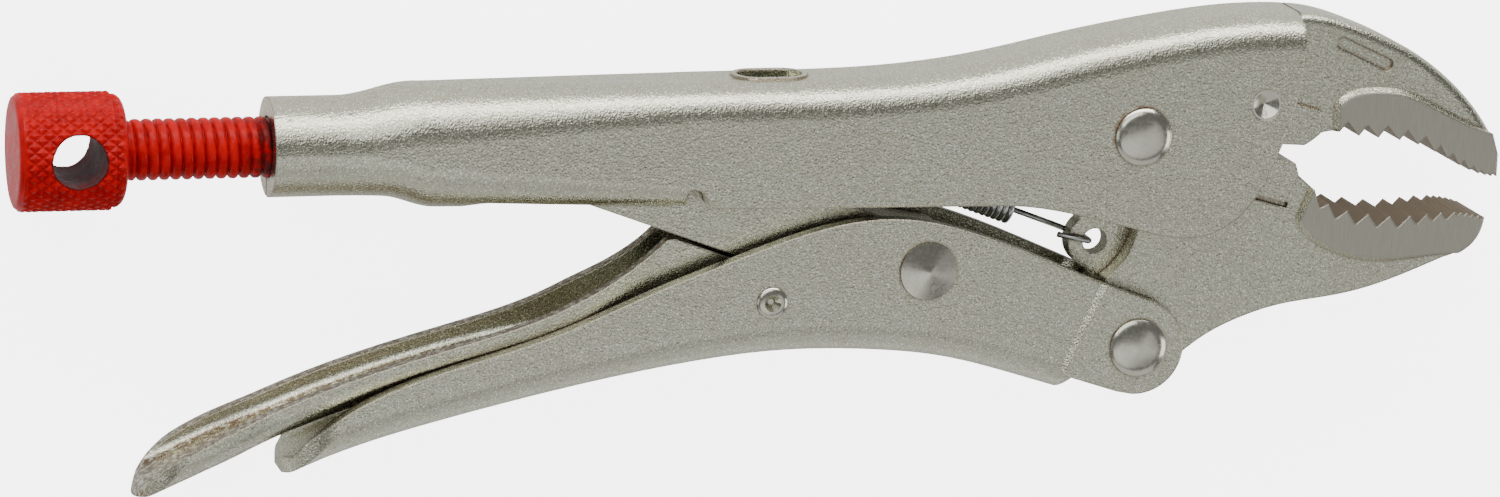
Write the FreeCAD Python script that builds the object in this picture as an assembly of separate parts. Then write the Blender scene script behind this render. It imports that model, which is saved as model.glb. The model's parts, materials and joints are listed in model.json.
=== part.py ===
import FreeCAD, Part
import math
import os

# Locking pliers with curved toothed jaws, lying on their side.
# X runs along the adjusting screw towards the jaws, Y towards the fixed handle, Z through the thickness.
# Everything is drawn about the mid-plane of the tool and laid on the bench at the end. Millimetres.

V = FreeCAD.Vector

# Thickness stack, each half measured from the mid-plane
JAW_HALF = 6.35            # toothed blocks and pivot bosses: 12.7 thick
FLANK_DROP = 1.0           # forged flanks lie this far below the toothed blocks
CHEEK_PLAY = 0.25          # side play between a boss and a cheek
FIXED_SHEET = 2.6          # steel sheet of the fixed handle
GRIP_WALL = 2.85           # the same sheet where it is rolled round into the grip
LEVER_SHEET = 2.5          # steel sheet of the lever handle
LEVER_BULGE = 0.8          # how far the lever's channel is wider than its front ears
RELEASE_SHEET = 2.1        # steel sheet of the release lever
RELEASE_WAIST = 5.3        # half width of the release lever at its pivot
RELEASE_TAIL = 8.3         # half width of its tail, beyond the lever handle
RELEASE_CURL_R = 3.6       # rounding of its lower edges
RELEASE_PLAY = 0.35        # side play of the release lever in the lever handle
LINK_PLAY = 0.6            # side play of the toggle link in the fixed handle
EAR_HALF = 1.62            # spring ear of the moving jaw

# Pivots, in the plane of the tool
JAW_PIVOT = (62.7, 19.0)
LEVER_PIVOT = (63.5, -16.1)
TOGGLE_PIVOT = (27.1, -2.1)
RELEASE_PIVOT = (1.2, -6.6)
STAKE = (83.6, 23.8)       # pin that fixes the upper jaw
SPRING_HOLE = (57.9, 0.1)

# Adjusting screw and the tube it runs in
SCREW_Y = 18.6
SCREW_R = 4.85
PITCH = 1.8
THREAD_DEPTH = 0.85
TUBE_END = -79.2
TUBE_R = 7.95
TUBE_LENGTH = 11.2
THREAD_LENGTH_IN_TUBE = 17.0
EXPOSED_THREAD = 22.9
KNOB_R = 9.35
KNOB_LENGTH = 17.2
KNOB_HOLE_R = 4.25
KNOB_HOLE_INSET = 9.3      # from the knob's flat end to the centre of its cross hole
SPIGOT_R = 3.0
SPIGOT_LENGTH = 2.2
RUNNING = 0.05             # radial clearance of every shaft in its hole

# Fixed handle
ROOF_R = 5.5               # rounding between roof and cheeks
CURL_R = 3.6               # rounding where the grip's lower edges curl in
CHEEK_START = -13.0        # here the curled grip ends and the flat cheeks begin
GRIP_START = -53.0         # here the round tube has become the grip
GRIP_BOTTOM = 8.85
GRIP_ROOF_R = 8.2          # at its rear end the grip is still nearly round
GRIP_CURL_R = 7.6
SLOT_FRONT = 7.5           # spine slot that anchors the spring
SLOT_REAR = -3.2
SLOT_HALF = 3.2
SLOT_RIM = (0.9, 0.45)     # width and height of the raised rim round the slot
SEAM_WIDTH = 0.5           # seam where the sheet meets under the tube
LINK_SLOT_END = -44.0      # centre of the round rear end of the toggle link's slot
TONGUE = (8.6, 1.6)        # length and thickness of the tongue bent down from the spine slot
TONGUE_BEND = 38.0         # degrees

# Rivets and pins
RIVET_R = 3.4
RIVET_HEAD_R = 4.7
RIVET_HEAD_H = 1.45
RELEASE_PIN_R = 1.9
RELEASE_PIN_HEAD_R = 2.5
RELEASE_PIN_HEAD_H = 0.7
STAKE_R = 2.5
SPRING_HOLE_R = 2.05

# Lobes round the pivots
JAW_LOBE_R = 10.0
LEVER_LOBE_R = 7.2
EAR_R = 7.9
JOGGLE_FOOT = (52.8, -13.0)    # middle of the joggle, where the lever's ears narrow
JOGGLE_SLANT = -25.0           # degrees from square across the lever
JOGGLE_RUN = 1.6               # length over which the sheet steps in
LOBE_GAP = 1.6             # between the moving jaw's lobe and the fixed jaw's tang

# Toggle link
LINK_TIP = (-41.0, 18.2)
LINK_TIP_R = 4.0
LINK_END_R = 8.3
SCREW_GAP = 2.7            # the linkage is opened here, between the link and the screw

# Return spring
COIL_R = 2.7
WIRE_R = 0.48
COIL_FRONT = (44.6, 5.2)
COIL_REAR = (12.0, 17.2)

# Teeth: spacing of each tooth from the root of the jaw to its tip
UPPER_PITCHES = (3.1, 3.0, 3.3, 3.0, 2.9, 2.3, 2.1, 1.8, 1.5, 1.1, 0.9, 0.9)
LOWER_PITCHES = (3.0, 3.0, 3.2, 3.2, 3.0, 2.5, 2.1, 2.0, 1.0, 0.9, 0.9, 0.9, 0.9)
TOOTH_DEPTH = 0.66         # depth of a tooth over its spacing

LEDGE = 1.0                # sloping ledge round a toothed block
NO_LEDGE = 0.0001          # at the block's top, so that foot and top outlines have as many edges
MARK_HALF_WIDTH = 1.05     # recessed capsule on the upper jaw
MARK_DEPTH = 0.5

# Worked out from the sizes above
FLANK_HALF = JAW_HALF - FLANK_DROP
CHEEK_INNER = JAW_HALF + CHEEK_PLAY
CHEEK_OUTER = CHEEK_INNER + FIXED_SHEET
EAR_INNER = JAW_HALF + 1.4 * CHEEK_PLAY
EAR_OUTER = EAR_INNER + LEVER_SHEET
LEVER_OUTER = EAR_OUTER + LEVER_BULGE
LEVER_INNER = LEVER_OUTER - LEVER_SHEET
RELEASE_OUTER = LEVER_INNER - RELEASE_PLAY
LINK_HALF = CHEEK_INNER - LINK_PLAY
LIP_HALF = LINK_HALF + 0.3
BORE_R = SCREW_R + RUNNING
SCREW_TIP = LINK_TIP[0] - LINK_TIP_R - SCREW_GAP
KNOB_FRONT = TUBE_END - EXPOSED_THREAD
KNOB_END = KNOB_FRONT - KNOB_LENGTH
REST = LEVER_OUTER + RIVET_HEAD_H     # mid-plane height above the bench

# Roof line of the fixed handle, from its front end back to the grip
ROOF = [(90.0, 38.1), (78.0, 37.9), (65.7, 36.3), (52.0, 33.8), (38.6, 31.0), (25.0, 29.2), (8.0, 28.5),
        (CHEEK_START, 28.4)]
# Belly line of the lever handle, from its front end back to its tail
BELLY = [(50.5, -23.1), (41.6, -20.3), (31.0, -17.5), (20.0, -16.1), (4.0, -15.7), (-12.0, -17.3),
         (-32.0, -20.9), (-52.0, -25.5), (-68.0, -30.1), (-76.6, -33.6)]


def outline(start, *steps):
    """Closed face. A step is a point for a straight run, two points for an arc, a list for a smooth curve."""
    edges = []
    here = V(start[0], start[1], 0)
    for step in steps:
        if isinstance(step, list):
            points = [here] + [V(x, y, 0) for x, y in step]
            curve = Part.BSplineCurve()
            curve.interpolate(points)
            edges.append(curve.toShape())
            here = points[-1]
        elif isinstance(step[0], tuple):
            middle, end = [V(x, y, 0) for x, y in step]
            edges.append(Part.Arc(here, middle, end).toShape())
            here = end
        else:
            end = V(step[0], step[1], 0)
            edges.append(Part.LineSegment(here, end).toShape())
            here = end
    first = V(start[0], start[1], 0)
    if here.distanceToPoint(first) > 1e-6:
        edges.append(Part.LineSegment(here, first).toShape())
    return Part.Face(Part.Wire(edges))


def plate(face, half):
    """Flat plate of the face's outline, from -half to +half through the thickness."""
    solid = face.extrude(V(0, 0, 2 * half))
    solid.translate(V(0, 0, -half))
    return solid


def around(centre, radius, degrees):
    """Point on a circle in the plane of the tool."""
    turn = math.radians(degrees)
    return centre[0] + radius * math.cos(turn), centre[1] + radius * math.sin(turn)


def disc(centre, radius, half):
    """Round bar through the thickness."""
    return Part.makeCylinder(radius, 2 * half, V(centre[0], centre[1], -half))


def shifted(points, dx, dy):
    """The same points, moved in the plane."""
    return [(x + dx, y + dy) for x, y in points]


def stadium(rear, front, half, low, high):
    """Upright block from y = low to y = high with straight sides and round ends, as long as rear to front."""
    body = Part.makeBox(front - rear - 2 * half, high - low, 2 * half, V(rear + half, low, -half))
    centres = (rear + half, front - half)
    ends = [Part.makeCylinder(half, high - low, V(x, low, 0), V(0, 1, 0)) for x in centres]
    return body.fuse(ends)


def long_edges(solid, half, low, high, shortest):
    """Edges on the faces z = half and z = -half, inside the box low..high and longer than shortest."""
    found = []
    for edge in solid.Edges:
        box = edge.BoundBox
        flat = abs(abs(box.ZMin) - half) < 1e-3 and box.ZLength < 1e-3
        inside = box.XMin > low[0] and box.XMax < high[0] and box.YMin > low[1] and box.YMax < high[1]
        if flat and inside and edge.Length > shortest:
            found.append(edge)
    return found


def rounded_section(x, bottom, top, half, bottom_r, top_r):
    """Rounded rectangle in the plane at x: a closed wire of four sides and four arcs."""
    def at(y, z):
        return V(x, y, z)

    def corner(y, z, radius, first, last):
        middle = math.radians((first + last) / 2)
        ends = [math.radians(first), math.radians(last)]
        points = [at(y + radius * math.sin(a), z + radius * math.cos(a)) for a in (ends[0], middle, ends[1])]
        return Part.Arc(*points).toShape(), points[0], points[2]

    corners = [corner(top - top_r, half - top_r, top_r, 0, 90),
               corner(top - top_r, -half + top_r, top_r, 90, 180),
               corner(bottom + bottom_r, -half + bottom_r, bottom_r, 180, 270),
               corner(bottom + bottom_r, half - bottom_r, bottom_r, 270, 360)]
    edges = []
    for number, (arc, first, last) in enumerate(corners):
        following = corners[(number + 1) % 4][1]
        edges.append(arc)
        edges.append(Part.LineSegment(last, following).toShape())
    return Part.Wire(edges)


def ease(x, start, end):
    """0 before start, 1 after end and a smooth S between them."""
    t = min(1.0, max(0.0, (x - start) / (end - start)))
    return t * t * (3 - 2 * t)


def grip_shell(inset):
    """Tube that swells into the grip, as a solid whose walls lie inset inside the outer skin."""
    flat = 0.05
    round_r = TUBE_R - inset - flat
    tube = (SCREW_Y - TUBE_R + inset, SCREW_Y + TUBE_R - inset, TUBE_R - inset, round_r, round_r)
    grip_low = GRIP_BOTTOM + inset
    grip_high = ROOF[-1][1] - inset
    grip_half = CHEEK_OUTER - inset
    grip = (grip_low, grip_high, grip_half, GRIP_CURL_R - inset, GRIP_ROOF_R - inset)
    cheek = (grip_low, grip_high, grip_half, CURL_R - min(inset, CURL_R - 0.6), ROOF_R - inset)
    start = TUBE_END + TUBE_LENGTH
    sections = []
    for step in range(9):
        x = start + (GRIP_START - start) * step / 8
        roof = ease(x, start, start + 0.8 * (GRIP_START - start))
        floor = ease(x, start + 0.45 * (GRIP_START - start), GRIP_START)
        mix = (floor, roof, roof, roof, roof)
        values = [a + (b - a) * m for a, b, m in zip(tube, grip, mix)]
        sections.append(rounded_section(x, *values))
    swell = Part.makeLoft(sections, True, False)
    tube_part = Part.Face(sections[0]).extrude(V(-TUBE_LENGTH, 0, 0))
    grip_sections = []
    for step in range(5):
        x = GRIP_START + (CHEEK_START - GRIP_START) * step / 4
        values = [a + (b - a) * step / 4 for a, b in zip(grip, cheek)]
        grip_sections.append(rounded_section(x, *values))
    grip_part = Part.makeLoft(grip_sections, True, False)
    return swell.fuse([tube_part, grip_part])


def fixed_handle():
    """Pressed steel handle: round tube, grip with curled edges, then two flat cheeks round the jaws."""
    chin = [(52.0, 6.3), (63.0, 3.4), (70.0, 1.9), (76.0, 2.8), (81.3, 6.6), (85.2, 13.4), (88.2, 21.5),
            (89.6, 29.0), ROOF[0]]
    cheeks = plate(outline((CHEEK_START, 11.7), ((-11.4, 11.9), (-9.9, 10.2)), ((-9.1, 9.1), (-7.6, 8.8)),
                           (38.9, 8.1), chin, ROOF[1:]), CHEEK_OUTER)
    roof_edges = long_edges(cheeks, CHEEK_OUTER, (-20, 26), (95, 45), 80)
    cheeks = cheeks.makeFillet(ROOF_R, roof_edges)
    outer = grip_shell(0.0).fuse(cheeks)

    # Hollow: threaded tube, grip, and the open channel between the cheeks
    # the bore runs on to the screw's tip, so that the grip clears the screw too
    bore = Part.makeCylinder(BORE_R, SCREW_TIP - TUBE_END + 1, V(TUBE_END - 1, SCREW_Y, 0), V(1, 0, 0))
    roof = shifted(ROOF, 0, -FIXED_SHEET)
    channel = plate(outline(roof[0], roof[1:], (CHEEK_START, -8), (100, -8), (100, roof[0][1])), CHEEK_INNER)
    inner_edges = long_edges(channel, CHEEK_INNER, (-20, 20), (95, 45), 80)
    channel = channel.makeFillet(ROOF_R - FIXED_SHEET, inner_edges)
    inside = grip_shell(GRIP_WALL)
    keep = Part.makeBox(200, 80, 60, V(TUBE_END + THREAD_LENGTH_IN_TUBE, -20, -30))
    inside = inside.common(keep)
    handle = outer.cut([bore, channel, inside])

    # Slot between the curled edges, for the toggle link, with a round rear end
    below = GRIP_BOTTOM - 5.5
    deep = GRIP_CURL_R + 5.5
    long = CHEEK_START + 4 - LINK_SLOT_END
    mouth = Part.makeBox(long, deep, 2 * LIP_HALF, V(LINK_SLOT_END, below, -LIP_HALF))
    mouth_end = Part.makeCylinder(LIP_HALF, deep, V(LINK_SLOT_END, below, 0), V(0, 1, 0))
    seam = Part.makeBox(LINK_SLOT_END - TUBE_END + 1, 8, SEAM_WIDTH, V(TUBE_END - 1, 6.5, -SEAM_WIDTH / 2))
    handle = handle.cut([mouth, mouth_end, seam])

    # Spine slot, with its tongue bent down into the channel to hold the spring
    slot = stadium(SLOT_REAR, SLOT_FRONT, SLOT_HALF, 22, 34)
    rim = stadium(SLOT_REAR - SLOT_RIM[0], SLOT_FRONT + SLOT_RIM[0], SLOT_HALF + SLOT_RIM[0],
                  ROOF[-1][1] - 1, ROOF[-1][1] + SLOT_RIM[1])
    tongue = Part.makeBox(TONGUE[0], TONGUE[1], 2 * SLOT_HALF - 0.8, V(0, -TONGUE[1], -SLOT_HALF + 0.4))
    tongue.rotate(V(0, 0, 0), V(0, 0, 1), -TONGUE_BEND)
    tongue.translate(V(SLOT_REAR - 1.0, ROOF[-1][1] - 0.5, 0))
    handle = handle.fuse(rim).cut(slot).fuse(tongue)
    return handle.cut([disc(JAW_PIVOT, RIVET_R, 20), disc(STAKE, STAKE_R, 20)])


def teeth(line, pitches):
    """Saw edge along a smooth line: points that alternate root, tip, at the given spacings."""
    curve = Part.BSplineCurve()
    curve.interpolate([V(x, y, 0) for x, y in line])
    total = curve.length()
    scale = total / sum(pitches)
    points = []
    travelled = 0.0
    side = 1 if line[0][1] > 12 else -1      # the upper jaw's teeth are cut upwards, the lower one's downwards
    for pitch in pitches:
        root = curve.value(curve.parameterAtDistance(travelled + 0.42 * pitch * scale))
        tip = curve.value(curve.parameterAtDistance(min(total, travelled + pitch * scale)))
        points.append((root.x, root.y + side * TOOTH_DEPTH * pitch))
        points.append((tip.x, tip.y))
        travelled += pitch * scale
    return points


def toothed_block(foot, top):
    """Block raised on both flanks, its side sloping in from the foot outline to the top outline."""
    halves = []
    for side in (1, -1):
        low, high = foot.OuterWire.copy(), top.OuterWire.copy()
        low.translate(V(0, 0, side * (FLANK_HALF - 0.2)))
        high.translate(V(0, 0, side * JAW_HALF))
        halves.append(Part.makeLoft([low, high], True, True))
    return halves


def fixed_jaw():
    """Upper jaw: tang staked between the cheeks, curved nose, toothed block and wire cutter."""
    spine = [(90.3, 38.1), (94.5, 37.6), (100.9, 35.6), (109.9, 31.5), (119.0, 24.6), (124.4, 18.0),
             (126.3, 13.2), (125.7, 10.2)]
    tooth_line = [(97.6, 18.4), (102.9, 17.4), (109.1, 16.6), (114.9, 14.5), (120.6, 11.5), (125.7, 10.2)]
    saw = teeth(tooth_line, UPPER_PITCHES)
    saw.reverse()
    tang_low = around(JAW_PIVOT, JAW_LOBE_R + LOBE_GAP, -8)
    front = [(97.6, 18.4), ((94.2, 17.9), (91.6, 16.3)), (84.0, 16.8), tang_low]
    inner_r = ROOF_R - FIXED_SHEET
    reach = FLANK_HALF - (CHEEK_INNER - inner_r)
    corner = inner_r - math.sqrt(inner_r ** 2 - reach ** 2)
    top_under_roof = FIXED_SHEET + corner + 0.15
    tang_under_roof = FIXED_SHEET + inner_r + 0.1
    tang_arc = (around(JAW_PIVOT, JAW_LOBE_R + LOBE_GAP, 30), around(JAW_PIVOT, JAW_LOBE_R + LOBE_GAP, 66))
    tang_top = [(78.0, ROOF[1][1] - top_under_roof), (90.3, ROOF[0][1] - top_under_roof)]
    body_face = outline(spine[0], spine[1:], *saw[1:], *front, tang_arc, *tang_top)
    body = plate(body_face, FLANK_HALF)
    spine_edges = long_edges(body, FLANK_HALF, (88, 8), (130, 45), 40)
    body = body.makeFillet(1.6, spine_edges)

    # Thicker tang between the cheeks
    tang_face = outline(tang_low, tang_arc,
                        (78.0, ROOF[1][1] - tang_under_roof), (89.4, ROOF[0][1] - tang_under_roof),
                        (89.0, 28.0), (86.6, 20.0), (85.6, 16.7))
    tang = plate(tang_face, CHEEK_INNER)

    # Toothed block and cutter block stand proud of the flanks
    foot, top = [
        outline(saw[0], *saw[1:], (97.6 - ledge, 18.4), (97.6 - ledge, 22.6),
                [(99.6 - 0.8 * ledge, 24.2 + 0.6 * ledge), (103.0, 24.7 + ledge), (108.0, 24.3 + ledge),
                 (114.4, 21.7 + 0.9 * ledge), (120.4, 18.9 + 0.6 * ledge), (124.6, 17.5)], (125.7, 14.0))
        for ledge in (LEDGE, NO_LEDGE)]
    block = toothed_block(foot, top)
    cutter = plate(outline((80.0, 24.6), (89.9, 23.2), (94.3, 21.9), (94.3, 18.2),
                           ((93.2, 17.3), (91.6, 16.3)), (84.0, 16.8), (80.0, 17.0)), JAW_HALF)
    jaw = body.fuse([tang, cutter] + block)

    # Recessed capsule on both flanks, and the hole for the staked pin
    start, end = (97.7, 33.0), (105.6, 29.3)
    slope = math.degrees(math.atan2(end[1] - start[1], end[0] - start[0]))
    length = math.hypot(end[0] - start[0], end[1] - start[1])
    for side in (-1, 1):
        low = FLANK_HALF - MARK_DEPTH if side > 0 else -FLANK_HALF - 1
        bar = Part.makeBox(length, 2 * MARK_HALF_WIDTH, 1 + MARK_DEPTH, V(0, -MARK_HALF_WIDTH, low))
        bar.rotate(V(0, 0, 0), V(0, 0, 1), slope)
        bar.translate(V(start[0], start[1], 0))
        ends = [Part.makeCylinder(MARK_HALF_WIDTH, 1 + MARK_DEPTH, V(x, y, low)) for x, y in (start, end)]
        jaw = jaw.cut([bar] + ends)
    return jaw.cut(disc(STAKE, STAKE_R, 20))


def moving_jaw():
    """Lower jaw: lobes on both pivots, thin spring ear, toothed block and wire cutter."""
    tooth_line = [(93.9, 8.8), (96.8, 6.2), (102.6, 4.7), (109.1, 4.0), (116.6, 4.5), (124.0, 3.4)]
    saw = teeth(tooth_line, LOWER_PITCHES)
    chin = [(117.5, -3.4), (110.6, -6.1), (103.7, -8.3), (96.7, -9.6), (89.8, -10.5), (82.9, -12.4),
            (76.1, -15.6), (70.3, -19.9), around(LEVER_PIVOT, LEVER_LOBE_R, -60)]
    lobe_round = (around(LEVER_PIVOT, LEVER_LOBE_R, -120), around(LEVER_PIVOT, LEVER_LOBE_R, 170))
    back = [lobe_round, (58.9, -5.3), ((62.4, -1.6), (64.0, 3.2)), around(JAW_PIVOT, JAW_LOBE_R, -100)]
    top_lobe = (around(JAW_PIVOT, JAW_LOBE_R, 120), around(JAW_PIVOT, JAW_LOBE_R, -22))
    neck = [(84.0, 14.5), (90.3, 13.3), (90.9, 11.4), (93.9, 8.8)]
    nose = [(122.6, -0.4), (119.8, -2.6), chin[0]]
    body_face = outline((124.0, 3.4), nose, chin[1:], *back, top_lobe, *neck, *saw[:-1])
    body = plate(body_face, FLANK_HALF)

    # Spring ear, bosses on both pivots, and the proud blocks
    ear_r = 4.6
    ear_face = outline(around(SPRING_HOLE, ear_r, 130),
                       (around(SPRING_HOLE, ear_r, 190), around(SPRING_HOLE, ear_r, 250)), (60.5, -9.0),
                       (66.0, -9.0), (66.0, 11.0), (57.5, 11.0))
    ear = plate(ear_face, EAR_HALF)
    bosses = [disc(JAW_PIVOT, JAW_LOBE_R, JAW_HALF), disc(LEVER_PIVOT, LEVER_LOBE_R, JAW_HALF)]
    cutter = plate(outline((78.0, 15.1), (84.0, 14.5), (90.3, 13.3), (90.9, 11.4), (88.6, 6.6), (83.6, 8.2),
                           (78.0, 9.6)), JAW_HALF)
    foot, top = [
        outline((93.9 - ledge, 8.8), (93.9, 8.8), *saw, [(122.6, -0.4), (119.8, -2.6)],
                [(114.0, -2.8 - 0.4 * ledge), (104.5, -2.9 - ledge), (97.8, -1.2 - ledge),
                 (93.8 - 0.6 * ledge, 1.3 - 0.8 * ledge), (91.8 - ledge, 3.7)])
        for ledge in (LEDGE, NO_LEDGE)]
    block = toothed_block(foot, top)
    jaw = body.fuse([ear, cutter] + bosses + block)

    # Slit under the cutter block, then the pivot holes and the spring hole
    slit = Part.makeBox(7.6, 0.9, 30, V(0, -0.9, -15))
    slit.rotate(V(0, 0, 0), V(0, 0, 1), -16)
    slit.translate(V(82.4, 8.6, 0))
    core = plate(outline((70, -5), (95, -5), (95, 15), (70, 15)), FLANK_HALF - 0.6)
    jaw = jaw.cut(slit.cut(core))
    holes = [disc(JAW_PIVOT, RIVET_R + RUNNING, 20), disc(LEVER_PIVOT, RIVET_R + RUNNING, 20),
             disc(SPRING_HOLE, SPRING_HOLE_R, 20)]
    return jaw.cut(holes)


def lever_handle():
    """Channel-shaped lever handle, open towards the fixed handle, with two joggled ears at the front."""
    crest = [(66.5, -8.8), (57.1, -5.2), (44.1, 0.4), (33.4, 4.3), (27.2, 5.9), (20.5, 6.6), (12.0, 5.8),
             (-3.2, 1.2), (-20.1, -5.2), (-33.6, -10.8), (-49.1, -15.5), (-60.0, -19.1), (-67.5, -22.8),
             (-73.5, -27.6), (-77.2, -32.0)]
    ear_round = (around(LEVER_PIVOT, EAR_R, 0), around(LEVER_PIVOT, EAR_R, 68))
    ear_start = around(LEVER_PIVOT, EAR_R, -95)
    face = outline(ear_start, ear_round, crest[1:], (BELLY[-1]), BELLY[-2::-1], (52.4, -20.9), (60.3, -23.5))
    solid = plate(face, LEVER_OUTER)
    belly_edges = long_edges(solid, LEVER_OUTER, (-80, -36), (53, -14), 100)
    solid = solid.makeFillet(ROOF_R, belly_edges)

    # Channel inside: narrower between the ears
    floor = shifted(BELLY, 0, 1.04 * LEVER_SHEET)
    wide_face = outline((60, floor[0][1] - 0.8), floor[0], floor[1:], (-85, floor[-1][1] - 2), (-85, 30),
                        (60, 30))
    wide = plate(wide_face, LEVER_INNER)
    wide = wide.makeFillet(ROOF_R - LEVER_SHEET, long_edges(wide, LEVER_INNER, (-80, -36), (53, -10), 100))
    narrow_face = outline((90, -40), (90, 30), (40, 30), (40, floor[1][1]), floor[0], (52.2, -40))
    narrow = plate(narrow_face, EAR_INNER)
    reach = 60
    for side in (-1, 1):
        outside = [(0, LEVER_OUTER), (JOGGLE_RUN, EAR_OUTER), (40, EAR_OUTER), (40, LEVER_OUTER + 2),
                   (0, LEVER_OUTER + 2)]
        shelf = [(-0.6, LEVER_INNER + 0.01), (JOGGLE_RUN - 0.6, EAR_INNER), (60, EAR_INNER),
                 (60, LEVER_INNER + 0.01)]
        for profile, cutting in ((outside, True), (shelf, False)):
            points = [V(x, -reach / 2, side * z) for x, z in profile]
            step = Part.Face(Part.makePolygon(points + points[:1])).extrude(V(0, reach, 0))
            step.rotate(V(0, 0, 0), V(0, 0, 1), JOGGLE_SLANT)
            step.translate(V(JOGGLE_FOOT[0], JOGGLE_FOOT[1], 0))
            if cutting:
                solid = solid.cut(step)
            else:
                wide = wide.cut(step)
    lever = solid.cut([wide, narrow])

    # The tail ends in a round spoon, seen from the grip
    tail = BELLY[-1][0] - 0.4
    spoon = Part.makeBox(200, 120, 2 * LEVER_OUTER + 2, V(tail + LEVER_OUTER, -80, -LEVER_OUTER - 1))
    dome = Part.makeCylinder(LEVER_OUTER, 120, V(tail + LEVER_OUTER, -80, 0), V(0, 1, 0))
    lever = lever.common(spoon.fuse(dome))
    holes = [disc(LEVER_PIVOT, RIVET_R, 20), disc(TOGGLE_PIVOT, RIVET_R, 20),
             disc(RELEASE_PIVOT, RELEASE_PIN_R, 20)]
    return lever.cut(holes)


def toggle_link():
    """Flat thick link from the lever handle to the tip of the screw."""
    slope = math.atan2(TOGGLE_PIVOT[1] - LINK_TIP[1], TOGGLE_PIVOT[0] - LINK_TIP[0])
    span = math.hypot(TOGGLE_PIVOT[0] - LINK_TIP[0], TOGGLE_PIVOT[1] - LINK_TIP[1])
    lean = math.asin((LINK_END_R - LINK_TIP_R) / span)
    down = math.degrees(slope - lean) - 90
    tip_low = around(LINK_TIP, LINK_TIP_R, down)
    tip_back = around(LINK_TIP, LINK_TIP_R, 180)
    tip_high = around(LINK_TIP, LINK_TIP_R, 72)
    end_low = around(TOGGLE_PIVOT, LINK_END_R, down)
    end_side = around(TOGGLE_PIVOT, LINK_END_R * 0.95, -30)
    end_high = around(TOGGLE_PIVOT, LINK_END_R * 0.84, 55)
    top = [(21.8, 5.6), (12.0, 9.2), (-12.0, 17.0), tip_high]
    face = outline(tip_low, end_low, (end_side, end_high), top, (tip_back, tip_low))
    link = plate(face, LINK_HALF)
    return link.cut(disc(TOGGLE_PIVOT, RIVET_R + RUNNING, 20))


def flared_plan(inset):
    """Block that is as wide as the release lever less an inset: narrow at the pivot, widest at the tail."""
    waist, middle, tail = [half - inset for half in (RELEASE_WAIST, RELEASE_OUTER, RELEASE_TAIL)]
    edges = []
    here = V(30, -60, waist)
    for start, end, first, last in ((-16.0, -30.0, waist, middle), (-78.0, -88.0, middle, tail)):
        points = [V(start + (end - start) * step / 8, -60, first + (last - first) * ease(step, 0, 8))
                  for step in range(9)]
        curve = Part.BSplineCurve()
        curve.interpolate(Points=points, InitialTangent=V(-1, 0, 0), FinalTangent=V(-1, 0, 0))
        edges += [Part.LineSegment(here, points[0]).toShape(), curve.toShape()]
        here = points[-1]
    corner = V(-115, -60, tail)
    edges.append(Part.LineSegment(here, corner).toShape())
    edges.append(Part.LineSegment(corner, V(-115, -60, 0)).toShape())
    edges.append(Part.LineSegment(V(-115, -60, 0), V(30, -60, 0)).toShape())
    edges.append(Part.LineSegment(V(30, -60, 0), V(30, -60, waist)).toShape())
    half = Part.Face(Part.Wire(edges)).extrude(V(0, 100, 0))
    return half.fuse(half.mirror(V(0, 0, 0), V(0, 0, 1))).removeSplitter()


def lower_edges(solid, line, beside):
    """Edges along a flared channel's lower line, on both sides, further than beside from the middle."""
    curve = Part.BSplineCurve()
    curve.interpolate([V(x, y, 0) for x, y in line])
    guide = curve.toShape()
    found = []
    for edge in solid.Edges:
        middle = edge.valueAt((edge.FirstParameter + edge.LastParameter) / 2)
        gap = Part.Vertex(middle.x, middle.y, 0).distToShape(guide)[0]
        if gap < 0.02 and abs(middle.z) > beside and edge.BoundBox.XLength > 1:
            found.append(edge)
    return found


def release_lever():
    """Slim channel between the handles, pivoted in the lever handle, with its nose under the toggle link."""
    crest = [(-15.9, 2.3), (-20.1, -1.0), (-24.0, -3.4), (-28.1, -5.5), (-32.9, -7.8), (-40.0, -10.4),
             (-50.3, -13.3), (-64.4, -17.4), (-76.0, -21.6), (-85.0, -25.5), (-92.5, -29.3), (-98.6, -34.4)]
    belly = [(-100.0, -37.0), (-88.8, -32.1), (-77.4, -27.3), (-62.0, -21.9), (-46.0, -17.6), (-30.0, -14.6),
             (-14.0, -12.4), (0.0, -11.8), (9.0, -10.9)]
    face = outline((14.6, -7.4), (-2.8, -0.7), (-13.3, 3.0), ((-14.8, 3.1), crest[0]), crest[1:], belly[0],
                   belly[1:])
    solid = plate(face, RELEASE_TAIL + 1).common(flared_plan(0.0))
    solid = solid.makeFillet(RELEASE_CURL_R, lower_edges(solid, belly, RELEASE_WAIST - 1))
    floor = shifted(belly, 0, 1.05 * RELEASE_SHEET)
    hollow = plate(outline((-110, floor[0][1] - 3), floor[0], floor[1:], (9.5, -6.0), (9.5, 30), (-110, 30)),
                   RELEASE_TAIL + 1).common(flared_plan(RELEASE_SHEET))
    inner_edges = lower_edges(hollow, floor, RELEASE_WAIST - RELEASE_SHEET - 1)
    hollow = hollow.makeFillet(RELEASE_CURL_R - RELEASE_SHEET, inner_edges)
    lever = solid.cut(hollow)
    tail = belly[0][0]
    spoon = Part.makeBox(200, 120, 2 * RELEASE_TAIL + 2, V(tail + RELEASE_TAIL, -80, -RELEASE_TAIL - 1))
    dome = Part.makeCylinder(RELEASE_TAIL, 120, V(tail + RELEASE_TAIL, -80, 0), V(0, 1, 0))
    lever = lever.common(spoon.fuse(dome))
    return lever.cut(disc(RELEASE_PIVOT, RELEASE_PIN_R + RUNNING, 20))


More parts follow.
